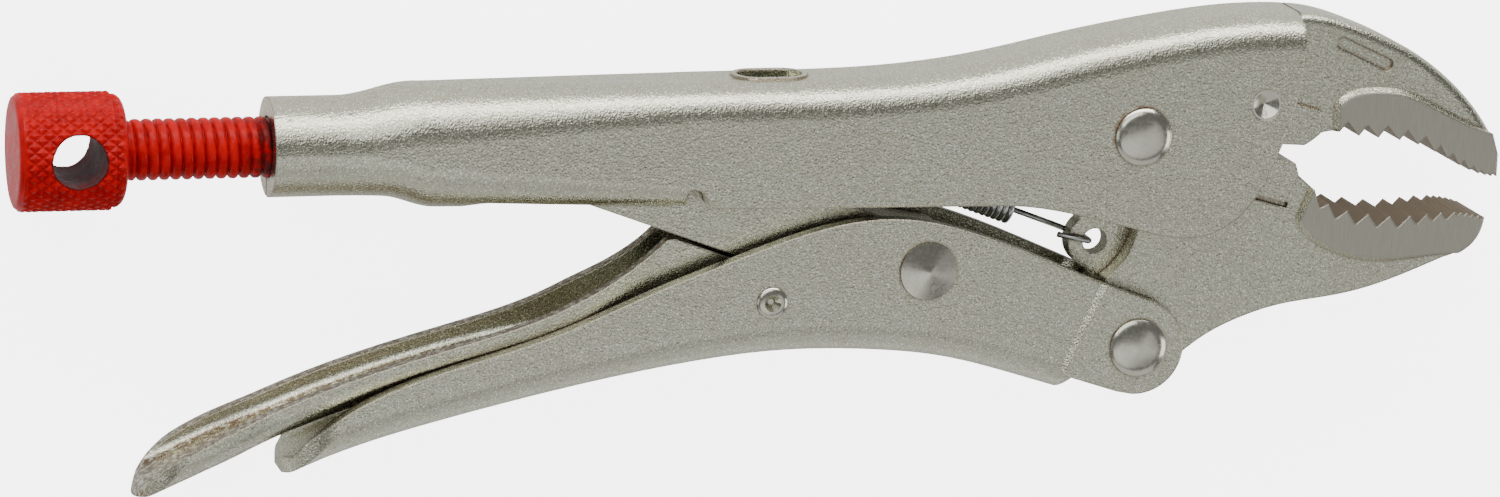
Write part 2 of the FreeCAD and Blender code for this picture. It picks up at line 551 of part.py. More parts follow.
def rivet(centre, shank_r, head_r, seat, height, crown):
    """Solid rivet with a head on each side: crown 0 gives a cone, 1 a round dome."""
    rim = 0.3 * height
    points = [V(0, 0, 0), V(shank_r, 0, 0), V(shank_r, 0, seat), V(head_r, 0, seat), V(head_r, 0, seat + rim)]
    edges = [Part.LineSegment(a, b).toShape() for a, b in zip(points, points[1:])]
    dome = []
    for share in (0.8, 0.6, 0.4, 0.2, 0.0):
        straight = 1 - share
        full = math.sqrt(1 - share ** 2)
        rise = straight + (full - straight) * crown - 0.06 * (1 - crown) * (1 - share) ** 6
        dome.append(V(head_r * share, 0, seat + rim + (height - rim) * rise))
    curve = Part.BSplineCurve()
    curve.interpolate([points[-1]] + dome)
    edges.append(curve.toShape())
    edges.append(Part.LineSegment(dome[-1], points[0]).toShape())
    half = Part.Face(Part.Wire(edges)).revolve(V(0, 0, 0), V(0, 0, 1), 360)
    other = half.mirror(V(0, 0, 0), V(0, 0, 1))
    whole = half.fuse(other)
    whole.translate(V(centre[0], centre[1], 0))
    return whole


def fixed_jaw_pin():
    """Pin staked flush through both cheeks, with a conical punch mark in each end."""
    pin = disc(STAKE, STAKE_R, CHEEK_OUTER)
    for side in (-1, 1):
        mark = Part.makeCone(0.15, STAKE_R - 0.3, 1.3, V(0, 0, 0), V(0, 0, side))
        mark.translate(V(STAKE[0], STAKE[1], side * (CHEEK_OUTER - 1.3)))
        pin = pin.cut(mark)
    return pin


def release_pin():
    """Tubular pin of the release lever, its ends rolled over outside the lever handle."""
    pin = rivet(RELEASE_PIVOT, RELEASE_PIN_R, RELEASE_PIN_HEAD_R, LEVER_OUTER, RELEASE_PIN_HEAD_H, 1.0)
    for side in (-1, 1):
        well = Part.makeCone(0.5, 1.5, 1.6, V(0, 0, 0), V(0, 0, side))
        well.translate(V(RELEASE_PIVOT[0], RELEASE_PIVOT[1], side * (LEVER_OUTER + RELEASE_PIN_HEAD_H - 1.5)))
        pin = pin.cut(well)
    return pin


def adjusting_screw():
    """Threaded shank, drawn as rings of thread, with the spigot that carries the knob."""
    start = KNOB_FRONT + 0.15
    profile = [(start - SPIGOT_LENGTH, 0), (start - SPIGOT_LENGTH, SPIGOT_R), (start, SPIGOT_R),
               (start, SCREW_R - 0.3), (start + 0.9, SCREW_R - 0.3)]
    x = start + 0.9
    last = SCREW_TIP - 1.6
    while x + PITCH < last:
        profile += [(x, SCREW_R - THREAD_DEPTH), (x + 0.40 * PITCH, SCREW_R), (x + 0.60 * PITCH, SCREW_R)]
        x += PITCH
    core = SCREW_R - THREAD_DEPTH
    profile += [(x, core), (SCREW_TIP - 0.8, core), (SCREW_TIP, core - 1.0), (SCREW_TIP, 0)]
    points = [V(a, r, 0) for a, r in profile]
    section = Part.Face(Part.makePolygon(points + points[:1]))
    screw = section.revolve(V(0, 0, 0), V(1, 0, 0), 360)
    screw.translate(V(0, SCREW_Y, 0))
    return screw


def screw_knob():
    """Round knob with a cross hole for a bar, bored at the front for the shank's spigot."""
    edge, shoulder = 0.7, 3.2
    points = [V(KNOB_END, 0, 0), V(KNOB_END, KNOB_R - edge, 0), V(KNOB_END + edge, KNOB_R, 0),
              V(KNOB_FRONT - shoulder, KNOB_R, 0)]
    edges = [Part.LineSegment(a, b).toShape() for a, b in zip(points, points[1:])]
    lip = V(KNOB_FRONT, SCREW_R + 0.6, 0)
    middle = V(KNOB_FRONT - 0.28 * shoulder, KNOB_R - 0.28 * (KNOB_R - SCREW_R - 0.6), 0)
    edges.append(Part.Arc(points[-1], middle, lip).toShape())
    edges.append(Part.LineSegment(lip, V(KNOB_FRONT, 0, 0)).toShape())
    edges.append(Part.LineSegment(V(KNOB_FRONT, 0, 0), points[0]).toShape())
    knob = Part.Face(Part.Wire(edges)).revolve(V(0, 0, 0), V(1, 0, 0), 360)
    knob.translate(V(0, SCREW_Y, 0))
    cross = disc((KNOB_END + KNOB_HOLE_INSET, SCREW_Y), KNOB_HOLE_R, 20)
    mouth = V(KNOB_FRONT + 0.1, SCREW_Y, 0)
    socket = Part.makeCylinder(SPIGOT_R + RUNNING, SPIGOT_LENGTH + 0.1, mouth, V(-1, 0, 0))
    return knob.cut([cross, socket])


def bar(start, end, radius):
    """Round bar between two points given as x, y, z."""
    way = V(*end) - V(*start)
    return Part.makeCylinder(radius, way.Length, V(*start), way)


def return_spring():
    """Pull spring from the spine slot to the jaw's ear: the coil as a sleeve, its legs as round wire."""
    rear, front = V(*COIL_REAR, 0), V(*COIL_FRONT, 0)
    way = front - rear
    coil = Part.makeCylinder(COIL_R, way.Length, rear, way)
    wall = 1.2
    inside = rear + way * (wall / way.Length)
    coil = coil.cut(Part.makeCylinder(COIL_R - 2 * WIRE_R, way.Length - 2 * wall, inside, way))
    slip = EAR_HALF + WIRE_R + 0.15
    hole = (SPRING_HOLE[0] - 1.0, SPRING_HOLE[1] + 0.1)
    beside = (SPRING_HOLE[0] - 5.8, SPRING_HOLE[1] + 2.0)
    front_leg = bar((COIL_FRONT[0] - 0.4, COIL_FRONT[1], 0), (*beside, -slip), WIRE_R)
    joint = Part.makeSphere(WIRE_R, V(*beside, -slip))
    behind = bar((*beside, -slip), (*hole, -slip), WIRE_R)
    through = bar((*hole, -slip - WIRE_R), (*hole, slip + WIRE_R), WIRE_R)
    folded = bar((*hole, slip), (hole[0] - 5.6, hole[1] + 1.2, slip), WIRE_R)
    anchor = (SLOT_REAR + 5.2, ROOF[-1][1] - 4.4)
    rear_leg = bar((COIL_REAR[0] + 0.4, COIL_REAR[1], 0), (anchor[0] + 1.2, anchor[1], 0), WIRE_R)
    return coil.fuse([front_leg, joint, behind, through, folded, rear_leg])


NODES = {
    "fixed_handle": fixed_handle(),
    "fixed_jaw": fixed_jaw(),
    "fixed_jaw_pin": fixed_jaw_pin(),
    "moving_jaw": moving_jaw(),
    "jaw_pivot_rivet": rivet(JAW_PIVOT, RIVET_R, RIVET_HEAD_R, CHEEK_OUTER, RIVET_HEAD_H, 0.9),
    "lever_handle": lever_handle(),
    "lever_pivot_rivet": rivet(LEVER_PIVOT, RIVET_R, RIVET_HEAD_R, EAR_OUTER, RIVET_HEAD_H, 0.6),
    "toggle_link": toggle_link(),
    "toggle_rivet": rivet(TOGGLE_PIVOT, RIVET_R, RIVET_HEAD_R, LEVER_OUTER, RIVET_HEAD_H, 0.0),
    "release_lever": release_lever(),
    "release_pin": release_pin(),
    "adjusting_screw": adjusting_screw(),
    "screw_knob": screw_knob(),
    "return_spring": return_spring(),
}

# Lay the tool on the bench with the middle of its outline at the origin
whole = Part.makeCompound(list(NODES.values())).optimalBoundingBox(False, False)
place = V(-(whole.XMin + whole.XMax) / 2, -(whole.YMin + whole.YMax) / 2, REST)
os.makedirs("parts", exist_ok=True)
for name, shape in NODES.items():
    shape.translate(place)
    shape.exportStep("parts/" + name + ".step")
    print(name, shape.ShapeType, len(shape.Solids), shape.isValid(), round(shape.Volume))
print("origin shift", [round(value, 4) for value in place])
print("size", round(whole.XLength, 3), round(whole.YLength, 3))
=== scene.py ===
import json
import math

import bpy
import numpy as np
from mathutils import Matrix, Vector


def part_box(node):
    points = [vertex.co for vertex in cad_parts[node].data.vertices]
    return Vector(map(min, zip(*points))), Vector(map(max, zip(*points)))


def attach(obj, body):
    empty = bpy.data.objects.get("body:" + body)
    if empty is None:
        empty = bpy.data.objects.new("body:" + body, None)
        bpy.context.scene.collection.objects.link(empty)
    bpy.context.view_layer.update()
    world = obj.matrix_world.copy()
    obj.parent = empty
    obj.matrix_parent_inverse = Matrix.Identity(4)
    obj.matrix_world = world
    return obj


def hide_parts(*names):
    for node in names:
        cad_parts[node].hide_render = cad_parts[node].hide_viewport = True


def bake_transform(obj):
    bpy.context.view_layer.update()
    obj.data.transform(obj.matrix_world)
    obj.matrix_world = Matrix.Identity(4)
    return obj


bl_info = {
    "name": "Locking pliers finisher",
    "version": (1, 0, 0),
    "blender": (4, 5, 0),
    "location": "View3D > Sidebar > Pliers",
    "description": "Plates, lacquers and details a pair of locking pliers",
    "category": "Object",
}

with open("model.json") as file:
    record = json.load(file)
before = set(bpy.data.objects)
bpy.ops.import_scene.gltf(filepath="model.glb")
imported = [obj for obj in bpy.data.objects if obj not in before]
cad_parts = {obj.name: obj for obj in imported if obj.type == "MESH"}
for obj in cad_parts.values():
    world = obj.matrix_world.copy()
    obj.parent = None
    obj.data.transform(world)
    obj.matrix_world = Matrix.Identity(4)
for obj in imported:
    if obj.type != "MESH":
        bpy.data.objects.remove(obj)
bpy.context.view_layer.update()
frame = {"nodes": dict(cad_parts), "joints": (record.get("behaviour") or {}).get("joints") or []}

MM = 0.001
JOINTS = {joint["name"]: joint for joint in frame["joints"]}
MID_Z = JOINTS["knob_turn"]["pos_m"][2]
SCREW_Y = JOINTS["knob_turn"]["pos_m"][1]
RUST = (0.30, 0.13, 0.05)
PAINTED_GLINT = (1.0, 0.99, 0.92)           # painted highlight: bright specks standing in for glinting facets of the blasted grain
PIT = (0.24, 0.20, 0.14)            # dark specks in the plating
TARNISH = (0.50, 0.45, 0.33)        # warm clouds of older plating
EDGE_SHADE_BROWN = (0.33, 0.25, 0.17)     # painted shade: a thin brown line along sharp edges
GRIME_AND_SHADE = (0.15, 0.078, 0.038)        # grime and painted shade: what gathers in corners, and the shade that falls there
SHADOW_BROWN = (0.17, 0.105, 0.06)  # painted shade: brown on faces that stand on edge
RIVET_STEEL = (0.70, 0.69, 0.59)
LACQUER_COAT = 0.05
LACQUER_SHEEN = 0.11


# ---------------------------------------------------------------- settings

class PlatingSettings(bpy.types.PropertyGroup):
    """Finish of the plated steel"""
    nickel: bpy.props.FloatVectorProperty(
        name="Nickel", description="Colour of the satin nickel plating", subtype="COLOR",
        size=3, min=0.0, max=1.0, default=(0.62, 0.62, 0.49))
    grain: bpy.props.FloatProperty(
        name="Grain", description="Spacing of the shot-blasted grain", unit="LENGTH",
        default=0.34 * MM, min=0.05 * MM, max=3 * MM)
    grain_depth: bpy.props.FloatProperty(
        name="Grain depth", description="Depth of the shot-blasted grain", unit="LENGTH",
        default=0.13 * MM, min=0.0, max=1 * MM)
    edge: bpy.props.FloatProperty(
        name="Edge rounding", description="Radius that catches light along the sheared edges", unit="LENGTH",
        default=0.55 * MM, min=0.0, max=3 * MM)


class ScrewSettings(bpy.types.PropertyGroup):
    """Sizes and colour of the adjusting screw"""
    red: bpy.props.FloatVectorProperty(
        name="Red", description="Colour of the lacquer", subtype="COLOR",
        size=3, min=0.0, max=1.0, default=(0.56, 0.002, 0.004))
    pitch: bpy.props.FloatProperty(
        name="Pitch", description="Spacing of the thread's turns", unit="LENGTH",
        default=1.8 * MM, min=0.5 * MM, max=5 * MM)
    thread_depth: bpy.props.FloatProperty(
        name="Thread depth", description="Depth of the thread", unit="LENGTH",
        default=0.85 * MM, min=0.1 * MM, max=2 * MM)
    knurls: bpy.props.IntProperty(
        name="Knurls", description="Diamonds round the knob", default=32, min=12, max=90)
    knurl_depth: bpy.props.FloatProperty(
        name="Knurl depth", description="Depth of the knurling", unit="LENGTH",
        default=0.34 * MM, min=0.0, max=1 * MM)
    hole_radius: bpy.props.FloatProperty(
        name="Cross hole", description="Radius of the hole through the knob", unit="LENGTH",
        default=4.25 * MM, min=1 * MM, max=6 * MM)


class SpringSettings(bpy.types.PropertyGroup):
    """Sizes of the return spring"""
    wire_radius: bpy.props.FloatProperty(
        name="Wire radius", description="Radius of the spring wire", unit="LENGTH",
        default=0.48 * MM, min=0.1 * MM, max=1 * MM)
    coil_radius: bpy.props.FloatProperty(
        name="Coil radius", description="Radius of the coil at the middle of its wire", unit="LENGTH",
        default=2.2 * MM, min=0.5 * MM, max=5 * MM)
    turns: bpy.props.IntProperty(
        name="Turns", description="Turns of the coil", default=33, min=4, max=60)


class StudioSettings(bpy.types.PropertyGroup):
    """Floor, light and camera"""
    floor: bpy.props.FloatVectorProperty(
        name="Floor", description="Colour of the floor", subtype="COLOR",
        size=3, min=0.0, max=1.0, default=(0.90, 0.90, 0.90))
    glow: bpy.props.FloatProperty(
        name="Floor glow", description="How brightly the lit paper floor shows",
        default=5.0, min=0.0, max=20.0)
    distance: bpy.props.FloatProperty(
        name="Camera distance", description="From the camera to the tool", unit="LENGTH",
        default=0.965, min=0.2, max=5.0)
    lens: bpy.props.FloatProperty(
        name="Lens", description="Focal length in millimetres", default=143.85, min=20, max=400)
    azimuth: bpy.props.FloatProperty(
        name="Azimuth", description="How far the camera stands towards the knob", subtype="ANGLE",
        default=math.radians(15.6))
    elevation: bpy.props.FloatProperty(
        name="Elevation", description="How far the camera stands towards the upper handle", subtype="ANGLE",
        default=math.radians(13.2))
    roll: bpy.props.FloatProperty(
        name="Roll", description="Turn of the camera about its own line of sight", subtype="ANGLE",
        default=math.radians(2.05))


# ---------------------------------------------------------------- meshes

def grid_faces(rows, columns):
    """Quads of a grid closed along its columns: row i, column j joins i + 1 and j + 1, wrapping round."""
    i = np.arange(rows - 1)[:, None] * columns
    j = np.arange(columns)[None, :]
    following = (j + 1) % columns
    quads = np.stack([i + j, i + following, i + columns + following, i + columns + j], axis=-1)
    return quads.reshape(-1, 4)


def skin(name, rings):
    """Closed mesh from rings of points, shape (rows, columns, 3), with a centre point closing each end."""
    rows, columns, _ = rings.shape
    centres = np.stack([rings[0].mean(axis=0), rings[-1].mean(axis=0)])
    points = np.concatenate([rings.reshape(-1, 3), centres])
    j = np.arange(columns)
    following = (j + 1) % columns
    first, last = rows * columns, rows * columns + 1
    last_row = (rows - 1) * columns
    start = np.stack([np.full(columns, first), following, j], axis=-1)
    finish = np.stack([np.full(columns, last), last_row + j, last_row + following], axis=-1)
    faces = grid_faces(rows, columns).tolist() + start.tolist() + finish.tolist()
    mesh = bpy.data.meshes.new(name)
    mesh.from_pydata(points.tolist(), [], faces)
    mesh.validate()
    return mesh


def place(name, mesh, smooth=True):
    """Object at the origin that holds the mesh, with its faces turned outwards."""
    piece = bpy.data.objects.new(name, mesh)
    bpy.context.scene.collection.objects.link(piece)
    bpy.ops.object.select_all(action="DESELECT")
    bpy.context.view_layer.objects.active = piece
    piece.select_set(True)
    bpy.ops.object.mode_set(mode="EDIT")
    bpy.ops.mesh.select_all(action="SELECT")
    bpy.ops.mesh.normals_make_consistent(inside=False)
    bpy.ops.object.mode_set(mode="OBJECT")
    mesh.polygons.foreach_set("use_smooth", np.full(len(mesh.polygons), smooth))
    return piece


def turned(stations, radii, angles):
    """Rings turned about the screw axis: y = r cos a, z = r sin a, with r given for each x and angle."""
    x = np.broadcast_to(stations[:, None], radii.shape)
    y = SCREW_Y + radii * np.cos(angles)[None, :]
    z = MID_Z + radii * np.sin(angles)[None, :]
    return np.stack([x, y, z], axis=-1)


def wave(t):
    """Triangle wave of period 1: 0 at whole numbers and 1 half way."""
    return 1.0 - np.abs(2.0 * (t - np.floor(t)) - 1.0)


def smooth_step(t):
    """0 below 0, 1 above 1 and 3t^2 - 2t^3 between."""
    t = np.clip(t, 0.0, 1.0)
    return t * t * (3.0 - 2.0 * t)


def wire(path, radius, hint, columns=14):
    """Round tube along a path: each ring is square to the path, its first point set by the hint."""
    tangent = np.gradient(path, axis=0)
    tangent /= np.linalg.norm(tangent, axis=1, keepdims=True)
    side = np.cross(tangent, np.broadcast_to(hint, path.shape))
    side /= np.linalg.norm(side, axis=1, keepdims=True)
    up = np.cross(side, tangent)
    angles = np.linspace(0, 2 * np.pi, columns, endpoint=False)
    across = np.cos(angles)[None, :, None] * side[:, None, :] + np.sin(angles)[None, :, None] * up[:, None, :]
    return path[:, None, :] + radius * across


def rounded_path(corners, radius, steps=10):
    """Path through corners, each inner one rounded by a quadratic curve that starts radius before it."""
    corners = [np.array(c, float) for c in corners]
    pieces = [corners[0][None, :]]
    t = np.linspace(0, 1, steps)[:, None]
    for before, corner, after in zip(corners, corners[1:], corners[2:]):
        enter = corner + (before - corner) / np.linalg.norm(before - corner) * radius
        leave = corner + (after - corner) / np.linalg.norm(after - corner) * radius
        pieces.append((1 - t) ** 2 * enter + 2 * t * (1 - t) * corner + t ** 2 * leave)
    pieces.append(corners[-1][None, :])
    return np.concatenate(pieces)


def drilled(piece, centre_x, radius):
    """Drills the piece along Z through the screw axis, keeps crisp edges, and returns its new mesh."""
    columns = 96
    angles = np.linspace(0, 2 * np.pi, columns, endpoint=False)
    z = np.array([-14.0, 14.0]) * MM + MID_Z
    rings = np.stack([
        np.broadcast_to(centre_x + radius * np.cos(angles), (2, columns)),
        np.broadcast_to(SCREW_Y + radius * np.sin(angles), (2, columns)),
        np.broadcast_to(z[:, None], (2, columns))], axis=-1)
    drill = place("drill", skin("drill", rings), smooth=False)
    cutter = piece.modifiers.new("cross_hole", "BOOLEAN")
    cutter.operation = "DIFFERENCE"
    cutter.solver = "EXACT"
    cutter.object = drill
    mesh = bpy.data.meshes.new_from_object(piece.evaluated_get(bpy.context.evaluated_depsgraph_get()))
    piece.modifiers.clear()
    piece.data = mesh
    bpy.data.objects.remove(drill)
    mesh.polygons.foreach_set("use_smooth", np.ones(len(mesh.polygons), bool))
    mesh.set_sharp_from_angle(angle=math.radians(42))
    return mesh


# ---------------------------------------------------------------- finishes

class Recipe:
    """Node tree of one finish, with short calls that add nodes and join them."""

    def __init__(self, name, colour, metallic, roughness):
        self.material = bpy.data.materials.new(name)
        self.material.use_nodes = True
        self.material.diffuse_color = (*colour, 1.0)
        self.nodes = self.material.node_tree.nodes
        self.links = self.material.node_tree.links
        self.shader = self.nodes["Principled BSDF"]
        self.shader.inputs["Base Color"].default_value = (*colour, 1.0)
        self.shader.inputs["Metallic"].default_value = metallic
        self.shader.inputs["Roughness"].default_value = roughness
        self.where = self.add("ShaderNodeTexCoord").outputs["Object"]

    def add(self, kind, **inputs):
        """New node: an input that is a socket is joined, and any other value is set."""
        node = self.nodes.new(kind)
        for name, value in inputs.items():
            self.feed(node.inputs[name], value)
        return node

    def feed(self, socket, value):
        """Joins a socket to an input, or sets the input's value."""
        if isinstance(value, bpy.types.NodeSocket):
            self.links.new(value, socket)
        else:
            socket.default_value = value

    def noise(self, spacing, detail=2.0, rough=0.5):
        """Cloudy pattern from 0 to 1 with lumps about spacing apart."""
        node = self.add("ShaderNodeTexNoise", Vector=self.where, Scale=1.0 / spacing,
                        Detail=detail, Roughness=rough)
        return node.outputs["Fac"]

    def cells(self, spacing):
        """Distance to the nearest of many scattered points, in shares of their spacing."""
        node = self.add("ShaderNodeTexVoronoi", Vector=self.where, Scale=1.0 / spacing)
        return node.outputs["Distance"]

    def math(self, operation, first, second=0.0):
        """One arithmetic operation on two values."""
        node = self.nodes.new("ShaderNodeMath")
        node.operation = operation
        self.feed(node.inputs[0], first)
        self.feed(node.inputs[1], second)
        return node.outputs[0]

    def ramp(self, value, low, high, start=0.0, end=1.0):
        """value mapped from low..high to start..end and held beyond them."""
        node = self.nodes.new("ShaderNodeMapRange")
        node.interpolation_type = "SMOOTHSTEP"
        for socket, number in zip(node.inputs[:5], (value, low, high, start, end)):
            self.feed(socket, number)
        return node.outputs[0]

    def mix(self, amount, first, second):
        """Colour that goes from first to second as amount goes from 0 to 1."""
        node = self.nodes.new("ShaderNodeMix")
        node.data_type = "RGBA"
        self.feed(node.inputs[0], amount)
        self.feed(node.inputs[6], first if isinstance(first, bpy.types.NodeSocket) else (*first, 1.0))
        self.feed(node.inputs[7], second if isinstance(second, bpy.types.NodeSocket) else (*second, 1.0))
        return node.outputs[2]

    def parts(self):
        """The x, y and z of a point on the object."""
        return self.add("ShaderNodeSeparateXYZ", Vector=self.where).outputs

    def near(self, centre, inner, outer):
        """1 within inner of a line through centre along Z, 0 beyond outer."""
        x, y, _ = self.parts()
        flat = self.add("ShaderNodeCombineXYZ", X=x, Y=y).outputs[0]
        node = self.nodes.new("ShaderNodeVectorMath")
        node.operation = "DISTANCE"
        self.feed(node.inputs[0], flat)
        node.inputs[1].default_value = (centre[0], centre[1], 0.0)
        return self.ramp(node.outputs["Value"], inner, outer, 1.0, 0.0)

    def rounded_normal(self, radius):
        """Normal of the surface as if its sharp edges had this radius."""
        node = self.nodes.new("ShaderNodeBevel")
        node.samples = 4
        node.inputs["Radius"].default_value = radius
        return node.outputs["Normal"]

    def edges(self, rounded):
        """0 on flat stretches, rising to 1 where the rounded normal leaves the true one at sharp edges."""
        dot = self.nodes.new("ShaderNodeVectorMath")
        dot.operation = "DOT_PRODUCT"
        self.feed(dot.inputs[0], rounded)
        self.feed(dot.inputs[1], self.nodes.new("ShaderNodeNewGeometry").outputs["Normal"])
        return self.ramp(dot.outputs["Value"], 0.995, 0.80)

    def flatness(self):
        """|n_z| of the normal n: 1 on the tool's flat sides and 0 on faces that stand square to them."""
        normal = self.nodes.new("ShaderNodeNewGeometry").outputs["Normal"]
        return self.math("ABSOLUTE", self.add("ShaderNodeSeparateXYZ", Vector=normal).outputs[2])

    def crevice(self, distance):
        """1 in the open and falling to 0 deep in a corner."""
        node = self.nodes.new("ShaderNodeAmbientOcclusion")
        node.samples = 4
        node.inputs["Distance"].default_value = distance
        return node.outputs["AO"]

    def bump(self, height, depth, normal=None):
        """Normal of a surface whose relief is height times depth."""
        node = self.add("ShaderNodeBump", Height=height, Distance=depth, Strength=1.0)
        if normal is not None:
            self.feed(node.inputs["Normal"], normal)
        return node.outputs["Normal"]

    def finish(self, colour, roughness, normal):
        """Joins the three sockets to the shader and returns the material."""
        for name, socket in (("Base Color", colour), ("Roughness", roughness), ("Normal", normal)):
            self.links.new(socket, self.shader.inputs[name])
        return self.material


def blasted_nickel(name, settings, rust_at=None, ground=None, shaded_sides=0.0):
    """Shot-blasted, nickel-plated steel.

    It has painted highlights on bright facets, dark specks, grime and painted shade in corners, painted shade
    on edges, and patchy rust round the point rust_at. ground changes the finish where the steel is ground,
    and the last argument sets how much brown shade is painted on the faces that stand on edge.
    """
    tone = tuple(settings.nickel)
    recipe = Recipe(name, tone, 1.0, 0.30)
    fine = recipe.noise(settings.grain, 1.0, 0.6)
    coarse = recipe.noise(settings.grain * 2.6, 2.0, 0.5)
    broad = recipe.noise(16 * MM, 3.0, 0.55)
    height = recipe.math("ADD", recipe.math("MULTIPLY", fine, 0.62), recipe.math("MULTIPLY", coarse, 0.38))

    lift = recipe.ramp(fine, 0.34, 0.68)
    colour = recipe.mix(lift, tuple(c * 0.90 for c in tone), tuple(min(1.0, c * 1.06) for c in tone))
    colour = recipe.mix(recipe.ramp(broad, 0.35, 0.75, 0.0, 0.14), colour, TARNISH)
    # painted highlights: sparse bright specks mixed into the colour
    painted_glints = recipe.ramp(recipe.cells(0.50 * MM), 0.34, 0.17, 0.0, 0.95)
    colour = recipe.mix(painted_glints, colour, PAINTED_GLINT)
    pits = recipe.ramp(recipe.cells(1.3 * MM), 0.20, 0.12, 0.0, 0.45)
    colour = recipe.mix(pits, colour, PIT)
    rounded = recipe.rounded_normal(settings.edge)
    edge = recipe.edges(rounded)
    # painted shade: sharp edges are browned, standing in for the thin shadow line at steps
    colour = recipe.mix(recipe.math("MULTIPLY", edge, 0.62), colour, EDGE_SHADE_BROWN)
    # grime and painted shade: corners and crevices found by occlusion are browned
    open_air = recipe.crevice(3.2 * MM)
    hidden = recipe.math("MAXIMUM", recipe.ramp(open_air, 0.05, 0.72, 0.90, 0.0),
                         recipe.ramp(recipe.crevice(0.7 * MM), 0.35, 0.95, 0.95, 0.0))
    colour = recipe.mix(hidden, colour, GRIME_AND_SHADE)
    if rust_at is not None:
        outer = recipe.near(rust_at, 4.8 * MM, 5.5 * MM)
        ring = recipe.math("SUBTRACT", outer, recipe.near(rust_at, 4.2 * MM, 4.6 * MM))
        patchy = recipe.ramp(recipe.noise(3.4 * MM), 0.42, 0.62, 0.0, 0.7)
        x, y, _ = recipe.parts()
        corner = rust_at[1] - rust_at[0]
        beside = recipe.ramp(recipe.math("SUBTRACT", y, x), corner, corner + 5 * MM)
        rusty = recipe.math("MULTIPLY", recipe.math("MULTIPLY", ring, patchy), beside)
        colour = recipe.mix(rusty, colour, RUST)
    # painted shade: faces that stand on edge are browned in patches
    if shaded_sides:
        aside = recipe.ramp(recipe.flatness(), 0.45, 0.88, shaded_sides, 0.0)
        patches = recipe.ramp(coarse, 0.62, 0.44)
        colour = recipe.mix(recipe.math("MULTIPLY", aside, patches), colour, SHADOW_BROWN)
    roughness = recipe.ramp(fine, 0.3, 0.75, 0.30, 0.16)
    roughness = recipe.math("ADD", roughness, recipe.math("MULTIPLY", hidden, 0.2))
    if ground is not None:
        colour, roughness, height = ground(recipe, colour, roughness, height)
    return recipe.finish(colour, roughness, recipe.bump(height, settings.grain_depth, rounded))


def ground_block(low_x, high_y, low_y):
    """Finish of a ground tooth block: fine straight marks on the raised block and in its teeth."""
    def apply(recipe, colour, roughness, height):
        x, y, z = recipe.parts()
        side = recipe.math("ABSOLUTE", recipe.math("SUBTRACT", z, MID_Z))
        proud = recipe.ramp(side, 6.20 * MM, 6.30 * MM)
        ahead = recipe.ramp(x, low_x - 0.1 * MM, low_x)
        wall = recipe.ramp(recipe.flatness(), 0.15, 0.05)
        above_low = recipe.ramp(y, low_y - 0.4 * MM, low_y)
        band = recipe.math("MULTIPLY", above_low, recipe.ramp(y, high_y, high_y - 0.4 * MM))
        teeth = recipe.math("MULTIPLY", wall, band)
        mask = recipe.math("MULTIPLY", recipe.math("MAXIMUM", proud, teeth), ahead)
        stretched = recipe.add("ShaderNodeMapping", Vector=recipe.where)
        stretched.inputs["Rotation"].default_value = (0.0, 0.0, math.radians(14))
        stretched.inputs["Scale"].default_value = (4200.0, 260.0, 900.0)
        marks = recipe.nodes.new("ShaderNodeTexNoise")
        marks.inputs["Scale"].default_value = 1.0
        marks.inputs["Detail"].default_value = 3.0
        recipe.feed(marks.inputs["Vector"], stretched.outputs[0])
        line = marks.outputs["Fac"]
        steel = recipe.mix(line, (0.385, 0.37, 0.305), (0.54, 0.525, 0.44))
        colour = recipe.mix(mask, colour, recipe.mix(teeth, steel, (0.34, 0.27, 0.19)))
        kept = recipe.math("SUBTRACT", 1.0, mask)
        ground_roughness = recipe.math("MULTIPLY", mask, 0.36)
        roughness = recipe.math("ADD", recipe.math("MULTIPLY", roughness, kept), ground_roughness)
        grain = recipe.math("MULTIPLY", height, kept)
        height = recipe.math("ADD", grain, recipe.math("MULTIPLY", recipe.math("MULTIPLY", line, mask), 0.10))
        return colour, roughness, height
    return apply


def bright_steel(name, tone):
    """Smooth plated rivet steel with faint scratches and a brown line of painted shade at its foot."""
    recipe = Recipe(name, tone, 1.0, 0.20)
    scratch = recipe.noise(0.5 * MM, 3.0, 0.7)
    cloud = recipe.noise(3.0 * MM, 2.0)
    colour = recipe.mix(recipe.ramp(cloud, 0.3, 0.7), tuple(c * 0.88 for c in tone), tone)
    # painted shade: the corner at the rivet's foot is browned
    hidden = recipe.ramp(recipe.crevice(0.7 * MM), 0.35, 0.80, 0.9, 0.0)
    colour = recipe.mix(hidden, colour, (0.14, 0.09, 0.05))
    roughness = recipe.ramp(scratch, 0.3, 0.7, 0.16, 0.27)
    return recipe.finish(colour, roughness, recipe.bump(scratch, 0.006 * MM))


